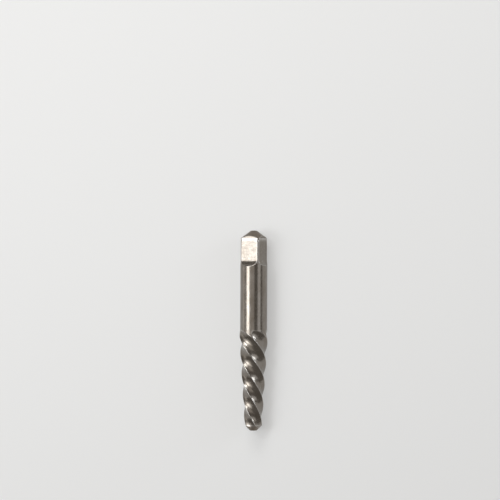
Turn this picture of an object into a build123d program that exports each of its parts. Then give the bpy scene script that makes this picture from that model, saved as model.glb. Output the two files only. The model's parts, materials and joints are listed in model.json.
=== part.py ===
"""A screw extractor in one piece of tool steel, lying along Y on a flat surface.

The square drive head is at the +Y end and the tapered left-hand flutes are at the -Y end.
Azimuths turn about the tool's own axis, from straight up (+Z) towards +X, in degrees.
Stations are distances along the axis from the end of the head, in millimetres.
The tool is made about the Y axis and then raised until its lowest lobe touches z = 0.
"""
import os
from math import cos, radians, sin, sqrt, tan

from build123d import *

os.makedirs("parts", exist_ok=True)

# The whole tool and its round shank
overall_length = 85.7
shank_diameter = 11.6

# The ground point of the head
head_point_diameter = 2.3
head_point_length = 3.4

# The square, milled from the round shank
square_sides = 4
square_across_flats = 8.7
square_flat_length = 12.8
square_cutter_radius = 2.7
square_azimuth = -14.6

# The taper that carries the flutes, with the shoulder where it rises from the shank
tapered_length = 43.4
shoulder_length = 3.6
small_end_diameter = 7.3
taper_on_diameter = 0.125

# The flutes, a left-hand spiral
flute_count = 5
flute_lead = 44.75
flute_azimuth = -19.5
flute_cutter_radius = 16.5
full_flute_length = 38.3

# The floor of one flute: angles after its cutting edge, or before the next one,
# and the radii there as shares of the radius over the edges
face_angle = 12.0
face_share = 0.865
valley_angle = 24.0
valley_share = 0.825
back_angle_before_next = 24.0
back_share = 0.885

# How far the sweep of the cutter reaches past the metal at each side and at both ends
overrun_share = 1.05
face_overrun_angle = 2.75
back_overrun_angle = 5.0
end_overrun = 2.0
lift_overrun = 0.4

# The chamfered tip
tip_face_diameter = 3.0
tip_chamfer_angle = 45.0

# How finely the spiral is laid out, in degrees of twist from one section to the next
twist_step = 12.0

# How closely the lowest point of the lobes is found
surface_tolerance = 0.02

shank_radius = shank_diameter / 2
tip_chamfer_slope = 1 / tan(radians(tip_chamfer_angle)) - taper_on_diameter / 2
tip_chamfer_length = (small_end_diameter - tip_face_diameter) / 2 / tip_chamfer_slope
lobe_angle = 360.0 / flute_count
taper_start = overall_length - tapered_length
full_flute_start = overall_length - full_flute_length
tool_axis = Axis.Y

# Local x is +X, local y is +Z, and an offset goes from the head towards the tip
head_plane = Plane(origin=(0, overall_length / 2, 0), x_dir=(1, 0, 0), z_dir=(0, -1, 0))

# Local x is the distance from the axis, and local y runs back along the tool from the head's end
turning_plane = Plane(origin=(0, overall_length / 2, 0), x_dir=(1, 0, 0), z_dir=(0, 0, 1))


def polar(radius, azimuth):
    """A point of a cross-section, at an azimuth about the axis."""
    return (radius * sin(radians(azimuth)), radius * cos(radians(azimuth)))


def taper_radius(station):
    """The radius over the cutting edges."""
    return (small_end_diameter + (overall_length - station) * taper_on_diameter) / 2


def cutter_lift(station):
    """How far the round cutter has risen out of the flute, ahead of its full depth."""
    ahead = max(full_flute_start - station, 0.0)
    return flute_cutter_radius - sqrt(flute_cutter_radius**2 - ahead**2)


def flute_stations():
    """Stations from where the cutter has left the metal to past the tip, one for each step of twist."""
    taper = taper_radius(full_flute_start)
    depth = max(taper, shank_radius) - taper * valley_share + lift_overrun
    lift_length = sqrt(flute_cutter_radius**2 - (flute_cutter_radius - depth) ** 2)
    first = full_flute_start - lift_length
    length = overall_length + end_overrun - first
    steps = round(360 * length / flute_lead / twist_step)
    return [first + length * step / steps for step in range(steps + 1)]


def flute_outline(station):
    """Draws what the cutter clears at a station: the face and back of the floor, closed outside the metal."""
    start = flute_azimuth + 360 * (station - taper_start) / flute_lead

    def floor(angle, share):
        return polar(taper_radius(station) * share + cutter_lift(station), start + angle)

    face_end = floor(-face_overrun_angle, overrun_share)
    valley = floor(valley_angle, valley_share)
    back_end = floor(lobe_angle + back_overrun_angle, overrun_share)
    outer_face = polar(shank_diameter, start - face_overrun_angle)
    outer_middle = polar(shank_diameter, start + lobe_angle / 2)
    outer_back = polar(shank_diameter, start + lobe_angle + back_overrun_angle)
    ThreePointArc(face_end, floor(face_angle, face_share), valley)
    ThreePointArc(valley, floor(lobe_angle - back_angle_before_next, back_share), back_end)
    Line(back_end, outer_back)
    ThreePointArc(outer_back, outer_middle, outer_face)
    Line(outer_face, face_end)


# What the cutter clears in one pass, turned round the tool for each flute
with BuildPart() as flute:
    for station in flute_stations():
        with BuildSketch(head_plane.offset(station)):
            with BuildLine():
                flute_outline(station)
            make_face()
    loft()

with BuildPart() as screw_extractor:
    # The blank as turned: ground point, shank, shoulder, taper and chamfered tip
    shoulder_end = taper_start + shoulder_length
    tip_corner = overall_length - tip_chamfer_length
    with BuildSketch(turning_plane):
        with BuildLine():
            Polyline(
                (0, 0),
                (head_point_diameter / 2, 0),
                (shank_radius, -head_point_length),
                (shank_radius, -taper_start),
                (taper_radius(shoulder_end), -shoulder_end),
                (taper_radius(tip_corner), -tip_corner),
                (tip_face_diameter / 2, -overall_length),
                (0, -overall_length),
                close=True,
            )
        make_face()
    revolve(axis=tool_axis)

    # The square: four flats, each with the round run-out of its cutter
    flat_distance = square_across_flats / 2
    for side in range(square_sides):
        outward = polar(1, square_azimuth + side * 360 / square_sides)
        flat_normal = Vector(outward[0], 0, outward[1])
        across_flat = flat_normal.cross(Vector(0, 1, 0))
        with BuildSketch(Plane(origin=turning_plane.origin, x_dir=flat_normal, z_dir=across_flat)):
            with BuildLine():
                cutter_centre = (flat_distance + square_cutter_radius, -square_flat_length)
                milled = CenterArc(cutter_centre, square_cutter_radius, 180, 90)
                Polyline(
                    milled @ 1,
                    (shank_diameter, -square_flat_length - square_cutter_radius),
                    (shank_diameter, end_overrun),
                    (flat_distance, end_overrun),
                    milled @ 0,
                )
            make_face()
        extrude(amount=shank_diameter, both=True, mode=Mode.SUBTRACT)

    # The flutes
    for lobe in range(flute_count):
        add(flute.part.rotate(tool_axis, lobe * lobe_angle), mode=Mode.SUBTRACT)

surface_points, _ = screw_extractor.part.tessellate(surface_tolerance)
lowest = min(point.Z for point in surface_points)
screw_extractor.part.position = (0, 0, -lowest)
screw_extractor.part.label = "screw_extractor"
export_step(screw_extractor.part, "parts/screw_extractor.step")
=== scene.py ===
import json
import math

import bpy
from mathutils import Matrix, Vector


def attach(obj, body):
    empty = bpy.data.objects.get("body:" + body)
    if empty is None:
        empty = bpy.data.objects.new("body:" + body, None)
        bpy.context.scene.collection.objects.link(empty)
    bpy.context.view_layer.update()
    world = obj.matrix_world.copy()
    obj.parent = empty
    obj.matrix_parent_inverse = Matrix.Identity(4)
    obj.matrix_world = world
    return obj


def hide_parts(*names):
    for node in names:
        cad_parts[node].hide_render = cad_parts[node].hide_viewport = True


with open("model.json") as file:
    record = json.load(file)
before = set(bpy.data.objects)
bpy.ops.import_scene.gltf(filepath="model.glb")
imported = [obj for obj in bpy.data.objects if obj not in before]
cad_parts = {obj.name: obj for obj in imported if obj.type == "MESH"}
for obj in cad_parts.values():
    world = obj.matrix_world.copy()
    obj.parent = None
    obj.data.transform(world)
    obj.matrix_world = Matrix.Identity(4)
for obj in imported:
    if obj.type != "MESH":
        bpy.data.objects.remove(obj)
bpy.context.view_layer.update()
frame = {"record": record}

shank_mount = next(mount for mount in frame["record"]["mounts"] if mount["name"] == "shank")
AXIS_HEIGHT = shank_mount["pos_m"][2] * 1000

# The floor of one flute as two arcs, each through three points: their angles after the cutting edge
# and their shares of the radius over the edges
FACE_ARC = ((-3.1, 1.05), (12.0, 0.885), (33.0, 0.813))
BACK_ARC = ((33.0, 0.813), (54.0, 0.866), (75.9, 1.05))

# A share of the radius that lies outside every flute, and how fast an arc gets there past its end
FAR_OUT = 2.0
FAR_OUT_SLOPE = 100

# The columns of the mesh start to turn with the flutes this far before the taper
TURN_LEAD_IN = 2.0

# Rows of the mesh over each round end face, and the power that crowds them towards its rim
FACE_ROWS = 6
FACE_ROW_POWER = 3

# Points of the mesh this near to each other, in metres, are one: the seam and the two end points
SEAM_GAP = 1e-6


def arc_through(points):
    """The circle through three points, as the distance and azimuth of its centre, and its radius."""
    (ax, ay), (bx, by), (cx, cy) = [
        (share * math.sin(math.radians(angle)), share * math.cos(math.radians(angle)))
        for angle, share in points
    ]
    a, b, c = ax * ax + ay * ay, bx * bx + by * by, cx * cx + cy * cy
    twice_area = ax * (by - cy) + bx * (cy - ay) + cx * (ay - by)
    x = (a * (by - cy) + b * (cy - ay) + c * (ay - by)) / twice_area / 2
    y = (a * (cx - bx) + b * (ax - cx) + c * (bx - ax)) / twice_area / 2
    return math.hypot(x, y), math.degrees(math.atan2(x, y)), math.hypot(ax - x, ay - y)


face_arc = arc_through(FACE_ARC)
back_arc = arc_through(BACK_ARC)

# Every size of the tool, by the name of its input on the tree
SIZES = {
    "Overall length": 85.7,
    "Axis height": AXIS_HEIGHT,
    "Shank diameter": 11.6,
    "Head point diameter": 2.3,
    "Head point length": 3.4,
    "Head end dome": 0.12,
    "Square across flats": 8.7,
    "Square flat length": 12.8,
    "Square cutter radius": 2.7,
    "Square azimuth": -14.6,
    "Tapered length": 43.4,
    "Shoulder length": 3.6,
    "Small end diameter": 7.3,
    "Taper on diameter": 0.125,
    "Flute count": 5,
    "Flute lead": 44.75,
    "Flute azimuth": -19.5,
    "Flute cutter radius": 16.5,
    "Full flute length": 38.3,
    "Valley angle": FACE_ARC[-1][0],
    "Face arc centre distance": face_arc[0],
    "Face arc centre azimuth": face_arc[1],
    "Face arc radius": face_arc[2],
    "Back arc centre distance": back_arc[0],
    "Back arc centre azimuth": back_arc[1],
    "Back arc radius": back_arc[2],
    "Tip face diameter": 3.0,
    "Edge rounding": 0.12,
    "Ridge rounding": 0.2,
    "Edge band width": 0.25,
    "Columns": 500,
}

# Where each run of the mesh's rows ends along the tool, and how many rows it has. The runs with many rows
# reach a little past the edge that they are there for.
flat_end = SIZES["Square flat length"]
taper_start = SIZES["Overall length"] - SIZES["Tapered length"]
full_flute_start = SIZES["Overall length"] - SIZES["Full flute length"]
tip_chamfer = (SIZES["Small end diameter"] - SIZES["Tip face diameter"]) / 2
PAST_RUN_OUT, BEFORE_TIP_CHAMFER = 0.6, 0.3
ROW_RUNS = (
    (SIZES["Head point length"], 34),
    (flat_end, 5),
    (flat_end + SIZES["Square cutter radius"], 26),
    (taper_start - TURN_LEAD_IN, 6),
    (full_flute_start + PAST_RUN_OUT, 32),
    (SIZES["Overall length"] - tip_chamfer - BEFORE_TIP_CHAMFER, 48),
    (SIZES["Overall length"], 24),
)
SIZES["Rows"] = sum(count for _, count in ROW_RUNS) + 2 * FACE_ROWS


class Socket:
    """A node's output. Arithmetic on it adds Math nodes to its tree, and node() adds any other node."""

    def __init__(self, tree, output=None):
        self.tree = tree
        self.output = output

    def node(self, kind, settings=None, sockets=None, output=0):
        """Adds a node, its settings first, then its sockets' values or links, and gives one output."""
        made = self.tree.nodes.new(kind)
        for name, value in (settings or {}).items():
            setattr(made, name, value)
        for name, value in (sockets or {}).items():
            if isinstance(value, Socket):
                self.tree.links.new(value.output, made.inputs[name])
            else:
                made.inputs[name].default_value = value
        return Socket(self.tree, made.outputs[output] if made.outputs else None)

    def math(self, operation, *values):
        return self.node("ShaderNodeMath", {"operation": operation}, dict(enumerate(values)))

    def __add__(self, other):
        return self.math("ADD", self, other)

    __radd__ = __add__

    def __sub__(self, other):
        return self.math("SUBTRACT", self, other)

    def __rsub__(self, other):
        return self.math("SUBTRACT", other, self)

    def __mul__(self, other):
        return self.math("MULTIPLY", self, other)

    __rmul__ = __mul__

    def __truediv__(self, other):
        return self.math("DIVIDE", self, other)

    def __rtruediv__(self, other):
        return self.math("DIVIDE", other, self)

    def __pow__(self, other):
        return self.math("POWER", self, other)

    def least(self, other):
        return self.math("MINIMUM", self, other)

    def most(self, other):
        return self.math("MAXIMUM", self, other)

    def round_least(self, other, distance):
        return self.math("SMOOTH_MIN", self, other, distance)

    def within(self, low, high):
        return self.most(low).least(high)

    def root(self):
        return self.math("SQRT", self.most(0.0))

    def sine(self):
        return self.math("SINE", self.math("RADIANS", self))

    def cosine(self):
        return self.math("COSINE", self.math("RADIANS", self))

    def split(self):
        """The three parts of a vector."""
        parts = self.node("ShaderNodeSeparateXYZ", sockets={0: self}).output.node
        return [Socket(self.tree, output) for output in parts.outputs]

    def joined(self, second, third):
        """The vector that has this as its first part."""
        return self.node("ShaderNodeCombineXYZ", sockets={0: self, 1: second, 2: third})

    def mixed(self, first, second):
        """The colour this share of the way from the first colour to the second."""
        settings = {"data_type": "RGBA"}
        return self.node("ShaderNodeMix", settings, {0: self, 6: first, 7: second}, output=2)


def near_side(angle, distance, azimuth, radius):
    """The radius at which a ray from the axis enters a circle, and soon far out where it misses."""
    turn = angle - azimuth
    reach = radius * radius - (distance * turn.sine()) ** 2
    return distance * turn.cosine() - reach.root() + (0 - reach).most(0.0) * FAR_OUT_SLOPE


def far_side(angle, distance, azimuth, radius):
    """The radius at which a ray from the axis leaves a circle that holds the axis."""
    turn = angle - azimuth
    return distance * turn.cosine() + (radius * radius - (distance * turn.sine()) ** 2).root()


def extractor_tree():
    """The tool as a tree: a grid wrapped round the axis, each point at the lowest of the ground surfaces."""
    tree = bpy.data.node_groups.new("screw extractor", "GeometryNodeTree")
    for name, value in SIZES.items():
        kind = "NodeSocketInt" if isinstance(value, int) else "NodeSocketFloat"
        tree.interface.new_socket(name, in_out="INPUT", socket_type=kind)
    tree.interface.new_socket("Finish", in_out="INPUT", socket_type="NodeSocketMaterial")
    tree.interface.new_socket("Mesh", in_out="OUTPUT", socket_type="NodeSocketGeometry")
    start = Socket(tree)
    inputs = tree.nodes.new("NodeGroupInput").outputs
    size = {socket.name: Socket(tree, socket) for socket in inputs}
    rounding, ridge_rounding = size["Edge rounding"], size["Ridge rounding"]

    columns, rows = size["Columns"], size["Rows"]
    counts = {"Size X": columns, "Size Y": rows, "Vertices X": columns + 1, "Vertices Y": rows + 1}
    mesh = start.node("GeometryNodeMeshGrid", sockets=counts, output="Mesh")
    across, along, _ = start.node("GeometryNodeInputPosition").split()
    column = across + columns / 2
    row = along + rows / 2

    # The end faces open from a point, and the head's is slightly domed
    head_face = 1 - (1 - (row / FACE_ROWS).within(0.0, 1.0)) ** FACE_ROW_POWER
    tip_face = 1 - (1 - ((rows - row) / FACE_ROWS).within(0.0, 1.0)) ** FACE_ROW_POWER
    station = size["Head end dome"] * head_face * head_face
    run_start = size["Head end dome"]
    left = row - FACE_ROWS
    for run_end, count in ROW_RUNS:
        station = station + left.within(0.0, count) / count * (run_end - run_start)
        left = left - count
        run_start = run_end

    # The columns turn with the flutes, and run straight along the shank and head
    tapered_from = size["Overall length"] - size["Tapered length"]
    turn_rate = 360 / size["Flute lead"]
    edge_azimuth = size["Flute azimuth"] + (station - tapered_from) * turn_rate
    turning = station.most(tapered_from - TURN_LEAD_IN) - tapered_from
    azimuth = column * 360 / columns + (size["Flute azimuth"] + turning * turn_rate)

    # The blank as turned
    from_tip = size["Overall length"] - station
    taper = (size["Small end diameter"] + from_tip * size["Taper on diameter"]) / 2
    shank = size["Shank diameter"] / 2
    shoulder_end = tapered_from + size["Shoulder length"]
    left_of_end = size["Overall length"] - shoulder_end
    shoulder_top = (size["Small end diameter"] + left_of_end * size["Taper on diameter"]) / 2
    rise = (shoulder_top - shank) / size["Shoulder length"]
    body = shank.most(shank + (station - tapered_from) * rise).least(taper)
    point = size["Head point diameter"] / 2
    cone = point + station * (shank - point) / size["Head point length"]
    tip = size["Tip face diameter"] / 2 + from_tip

    # The square, with the round run-out of its cutter
    cutter = size["Square cutter radius"]
    past_flat = (station - size["Square flat length"]).most(0.0)
    flat_distance = size["Square across flats"] / 2 + cutter - (cutter ** 2 - past_flat ** 2).root()
    side = start.math("FLOORED_MODULO", azimuth - size["Square azimuth"] + 45, 90.0) - 45
    flat = flat_distance / side.cosine()

    # The long run-out of the flutes' cutter, which rises out of the metal
    ahead = (size["Overall length"] - size["Full flute length"] - station).most(0.0)
    flute_cutter = size["Flute cutter radius"]
    lift = flute_cutter - (flute_cutter ** 2 - ahead ** 2).root()

    # The floor of the nearest flute, and the ridges that it shares with the next one and the last one
    pitch = 360 / size["Flute count"]
    after_edge = start.math("FLOORED_MODULO", azimuth - edge_azimuth, pitch)
    arc_parts = ("centre distance", "centre azimuth", "radius")
    face, back = [[size[f"{name} arc {part}"] for part in arc_parts] for name in ("Face", "Back")]
    past_valley = start.math("GREATER_THAN", after_edge, size["Valley angle"])
    own_face = near_side(after_edge, *face).least(FAR_OUT)
    own_floor = own_face + (far_side(after_edge, *back) - own_face) * past_valley
    next_face = near_side(after_edge - pitch, *face).least(FAR_OUT)
    last_back = far_side(after_edge + pitch, *back)
    floor = (own_floor * taper).round_least(next_face * taper, ridge_rounding)
    floor = floor.round_least(last_back * taper, ridge_rounding) + lift

    # What is left of the blank, closed to a point at each end
    radius = body.round_least(cone, rounding).round_least(tip, rounding)
    radius = radius.round_least(flat, rounding).round_least(floor, ridge_rounding)
    radius = radius * head_face * tip_face

    # Where each finish lies, and how near the closest edge is
    turned_blank = body.least(cone).least(tip)
    in_flute = ((turned_blank - floor) / size["Edge band width"]).within(0.0, 1.0)
    on_flat = ((turned_blank - flat) / size["Edge band width"]).within(0.0, 1.0)
    on_end = ((body - turned_blank) / size["Edge band width"]).within(0.0, 1.0)
    kept = {
        "flute": in_flute,
        "flat": on_flat,
        "end": on_end * (1 - in_flute) * (1 - on_flat),
        "edge": 0.0,
    }
    for one, other in ((turned_blank, floor), (turned_blank, flat), (body, cone), (body, tip)):
        gap = start.math("ABSOLUTE", one - other)
        kept["edge"] = (1 - gap / size["Edge band width"]).most(kept["edge"])

    x = radius * azimuth.sine()
    y = size["Overall length"] / 2 - station
    z = radius * azimuth.cosine() + size["Axis height"]
    placed = (x / 1000).joined(y / 1000, z / 1000)
    for name, value in kept.items():
        sockets = {"Geometry": mesh, "Name": name, "Value": value}
        mesh = start.node("GeometryNodeStoreNamedAttribute", {"data_type": "FLOAT"}, sockets)
    mesh = start.node("GeometryNodeSetPosition", sockets={"Geometry": mesh, "Position": placed})
    mesh = start.node("GeometryNodeMergeByDistance", sockets={"Geometry": mesh, "Distance": SEAM_GAP})
    mesh = start.node("GeometryNodeFlipFaces", sockets={"Mesh": mesh})
    mesh = start.node("GeometryNodeSetShadeSmooth", sockets={0: mesh})
    mesh = start.node("GeometryNodeRealizeInstances", sockets={"Geometry": mesh})
    finished = {"Geometry": mesh, "Material": size["Finish"]}
    mesh = start.node("GeometryNodeSetMaterial", sockets=finished)
    start.node("NodeGroupOutput", sockets={"Mesh": mesh})
    return tree


def made_plain(name, tree, material):
    """The tree's result as a plain mesh in an object of its own."""
    carrier = bpy.data.objects.new(name + "_tree", bpy.data.meshes.new(name + "_tree"))
    bpy.context.scene.collection.objects.link(carrier)
    modifier = carrier.modifiers.new("shape", "NODES")
    modifier.node_group = tree
    for item in tree.interface.items_tree:
        if item.in_out == "INPUT":
            modifier[item.identifier] = SIZES.get(item.name, material)
    evaluated = carrier.evaluated_get(bpy.context.evaluated_depsgraph_get())
    mesh = bpy.data.meshes.new_from_object(evaluated)
    mesh.name = name
    carrier.modifiers.remove(modifier)
    bpy.data.objects.remove(carrier)
    piece = bpy.data.objects.new(name, mesh)
    bpy.context.scene.collection.objects.link(piece)
    return piece


# The steel's colours: as ground, browned, in its pits, and on worn edges that also carry a painted glint
DARK_STEEL = (0.205, 0.18, 0.154, 1)
LIGHT_STEEL = (0.275, 0.252, 0.228, 1)
# Brown: heat tint on the flats, and on the cone and tip also a painted brown reflection
BROWN_TINT_AND_REFLECTION = (0.15, 0.118, 0.088, 1)
PITTED_STEEL = (0.07, 0.055, 0.042, 1)
# Light grey for worn edges, also a painted glint along the ridges and the edges of flats and ends
WORN_AND_GLINT_STEEL = (0.62, 0.60, 0.58, 1)

# How rough the round ground steel is, and how much rougher each other finish is
BLANK_ROUGHNESS = 0.21
FLUTE_ROUGHER, FLAT_ROUGHER, END_ROUGHER, PIT_ROUGHER = 0.02, 0.03, 0.1, 0.15

# How high a full step of the grain stands, in metres, and how much of it shows
GRAIN_HEIGHT = 2e-5
GRAIN_STRENGTH = 0.6

# Pits are where fine noise rises over this, and the milled flats have fewer
PIT_LEVEL, FEWER_ON_FLATS = 0.64, 0.04


def hardened_steel():
    """Ground tool steel: lines round the shank, along the flutes and over the flats, worn edges with a
    painted glint.
    """
    material = bpy.data.materials.new("hardened tool steel")
    material.use_nodes = True
    tree = material.node_tree
    tree.nodes.clear()
    start = Socket(tree)

    def attribute(name):
        return start.node("ShaderNodeAttribute", {"attribute_name": name}, output="Fac")

    x, y, z = start.node("ShaderNodeTexCoord", output="Object").split()
    across = x * 1000
    up = z * 1000 - AXIS_HEIGHT
    station = SIZES["Overall length"] / 2 - y * 1000
    flute, flat, end, edge = attribute("flute"), attribute("flat"), attribute("end"), attribute("edge")

    # The cross-section turned back, so that a pattern in it follows the flutes
    turn = station * (360 / SIZES["Flute lead"])
    straight_across = across * turn.cosine() - up * turn.sine()
    straight_up = up * turn.cosine() + across * turn.sine()

    def grain(crosswise, lengthwise, detail=3.0, right=across, top=up):
        """Noise with so many spots in a millimetre across the tool and along it."""
        place = (right * crosswise).joined(station * lengthwise, top * crosswise)
        sockets = {"Vector": place, "Scale": 1.0, "Detail": detail, "Roughness": 0.55}
        return start.node("ShaderNodeTexNoise", sockets=sockets)

    # Grinding lines by finish, and broader bands round the tool
    round_lines = grain(0.12, 6.0)
    round_bands = grain(0.45, 1.1, detail=4.0)
    flute_lines = grain(4.0, 0.3, right=straight_across, top=straight_up)
    flat_lines = grain(0.5, 5.0)
    lines = round_lines + (flute_lines - round_lines) * flute
    lines = lines + (flat_lines - lines) * flat

    # Clouds, smaller mottles, pits, heat tint with a painted reflection, and worn edges with a painted glint
    cloud = grain(0.35, 0.22, detail=4.0)
    mottle = grain(1.6, 1.0, detail=4.0)
    pits = ((grain(4.0, 4.0, detail=2.0) - PIT_LEVEL - flat * FEWER_ON_FLATS) * 10).within(0.0, 1.0)
    # Worn edges, lightened also to paint a glint along the ridges and the edges of the flats and ends
    worn_and_glint = (edge * (0.4 + mottle)).within(0.0, 1.0) ** 2

    tone = ((cloud - 0.35) * 2.2).within(0.0, 1.0)
    colour = tone.mixed(DARK_STEEL, LIGHT_STEEL)
    # Browner at random on the flats as heat tint; on the cone and tip a painted brown reflection
    tint_and_reflection = (end * 0.55 + flat * (mottle - 0.4) * 0.4).within(0.0, 1.0)
    colour = tint_and_reflection.mixed(colour, BROWN_TINT_AND_REFLECTION)
    colour = (pits * (0.7 - flat * 0.5)).mixed(colour, PITTED_STEEL)
    colour = (worn_and_glint * 0.9).mixed(colour, WORN_AND_GLINT_STEEL)

    roughness = BLANK_ROUGHNESS + flute * FLUTE_ROUGHER + flat * FLAT_ROUGHER + end * END_ROUGHER
    roughness = roughness + (lines - 0.5) * 0.12 + (round_bands - 0.5) * 0.2 + (mottle - 0.5) * 0.1
    roughness = (roughness + pits * PIT_ROUGHER).within(0.1, 0.7)

    height = lines * 0.5 + round_bands * 1.2 + mottle * 0.9 - pits * 0.4
    bump = {"Strength": GRAIN_STRENGTH, "Distance": GRAIN_HEIGHT, "Height": height}
    normal = start.node("ShaderNodeBump", sockets=bump)
    surface = {"Base Color": colour, "Metallic": 1.0, "Roughness": roughness, "Normal": normal}
    steel = start.node("ShaderNodeBsdfPrincipled", sockets=surface)
    start.node("ShaderNodeOutputMaterial", sockets={"Surface": steel})
    return material


# The floor's colour in the lamps' light, what it shows beside that, and half its width in metres
FLOOR_COLOUR = (0.43, 0.43, 0.43, 1)
FLOOR_GLOW_COLOUR = (1, 1, 0.99, 1)
FLOOR_GLOW = 0.35
FLOOR_REACH = 4.0


def pale_floor():
    """A plain pale surface that also shows pale in the steel, and keeps the tool's shadow."""
    material = bpy.data.materials.new("pale floor")
    material.use_nodes = True
    tree = material.node_tree
    tree.nodes.clear()
    start = Socket(tree)
    path = start.node("ShaderNodeLightPath").output.node.outputs
    seen = Socket(tree, path["Is Camera Ray"])
    for kind in ("Is Glossy Ray", "Is Transmission Ray"):
        seen = seen.most(Socket(tree, path[kind]))
    surface = start.node("ShaderNodeBsdfDiffuse", sockets={"Color": FLOOR_COLOUR})
    shining = {"Color": FLOOR_GLOW_COLOUR, "Strength": seen * FLOOR_GLOW}
    glow = start.node("ShaderNodeEmission", sockets=shining)
    both = start.node("ShaderNodeAddShader", sockets={0: surface, 1: glow})
    start.node("ShaderNodeOutputMaterial", sockets={"Surface": both})
    return material


def add_floor():
    mesh = bpy.data.meshes.new("floor")
    corners = [(x * FLOOR_REACH, y * FLOOR_REACH, 0) for x, y in ((-1, -1), (1, -1), (1, 1), (-1, 1))]
    mesh.from_pydata(corners, [], [(0, 1, 2, 3)])
    mesh.materials.append(pale_floor())
    floor = bpy.data.objects.new("floor", mesh)
    bpy.context.scene.collection.objects.link(floor)
    return floor


# The view looks down on the tool, square to its axis, in degrees and millimetres.
# The width of the frame and its centre from the tool's middle are measured at the tool.
VIEW_AZIMUTH = 12.5
VIEW_ROLL = 0.2
VIEW_DISTANCE = 1000.0
FRAME_WIDTH = 214.3
SENSOR_WIDTH = 36.0
FRAME_CENTRE_ACROSS = -1.67
FRAME_CENTRE_ALONG = 34.46


def direction(azimuth, elevation):
    """A direction from the tool: an azimuth from the view to its right and an elevation to its top."""
    turn, lift = math.radians(VIEW_AZIMUTH + azimuth), math.radians(elevation)
    return Vector((math.sin(turn) * math.cos(lift), math.sin(lift), math.cos(turn) * math.cos(lift)))


def add_camera():
    back, right, along = direction(0, 0), direction(90, 0), Vector((0, 1, 0))
    roll = math.radians(VIEW_ROLL)
    up = along * math.cos(roll) - right * math.sin(roll)
    axis_middle = Vector((0, 0, AXIS_HEIGHT))
    target = axis_middle + along * FRAME_CENTRE_ALONG + right * FRAME_CENTRE_ACROSS
    data = bpy.data.cameras.new("camera")
    data.sensor_width = SENSOR_WIDTH
    data.lens = SENSOR_WIDTH * VIEW_DISTANCE / FRAME_WIDTH
    camera = bpy.data.objects.new("camera", data)
    bpy.context.scene.collection.objects.link(camera)
    turned = Matrix((up.cross(back), up, back)).transposed().to_4x4()
    camera.matrix_world = Matrix.Translation((target + back * VIEW_DISTANCE) / 1000) @ turned
    bpy.context.scene.camera = camera


# Softboxes: azimuth and elevation from the view, width and length in millimetres, watts and colour.
# Each faces the middle of the tool from the same distance.
LAMPS = {
    "key": (-49, 0, 165, 200, 0.53, (0.95, 0.98, 1.0)),
    "key spread": (-52, -2, 400, 420, 0.70, (0.98, 0.98, 0.98)),
    "upper key": (-36, 24, 150, 150, 0.78, (0.95, 0.98, 1.0)),
    "high": (-20, 52, 290, 220, 1.20, (1.0, 0.98, 0.95)),
    "soft front": (-12, 4, 360, 300, 0.18, (1.0, 0.98, 0.95)),
    "fill": (46, 6, 330, 270, 0.25, (0.92, 0.96, 1.0)),
    "upper fill": (62, 22, 150, 180, 0.60, (0.86, 0.93, 1.0)),
    "left edge": (-96, 0, 150, 300, 0.12, (1.0, 0.985, 0.96)),
}
LAMP_DISTANCE = 600.0
WORLD_COLOUR = (1.0, 0.95, 0.89, 1)
WORLD_STRENGTH = 0.26


def add_lamps():
    for name, (azimuth, elevation, width, length, watts, colour) in LAMPS.items():
        data = bpy.data.lights.new(name, "AREA")
        data.shape = "RECTANGLE"
        data.size, data.size_y = width / 1000, length / 1000
        data.energy, data.color = watts, colour
        lamp = bpy.data.objects.new(name, data)
        bpy.context.scene.collection.objects.link(lamp)
        away = direction(azimuth, elevation)
        lamp.location = (Vector((0, 0, AXIS_HEIGHT)) + away * LAMP_DISTANCE) / 1000
        lamp.rotation_euler = away.to_track_quat("Z", "Y").to_euler()
    world = bpy.data.worlds.new("studio")
    bpy.context.scene.world = world
    world.use_nodes = True
    background = world.node_tree.nodes["Background"]
    background.inputs["Color"].default_value = WORLD_COLOUR
    background.inputs["Strength"].default_value = WORLD_STRENGTH


add_camera()
add_lamps()
tool = made_plain("extractor", extractor_tree(), hardened_steel())
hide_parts("screw_extractor")
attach(tool, "root")

floor = add_floor()

bpy.context.scene.view_settings.view_transform = "Standard"
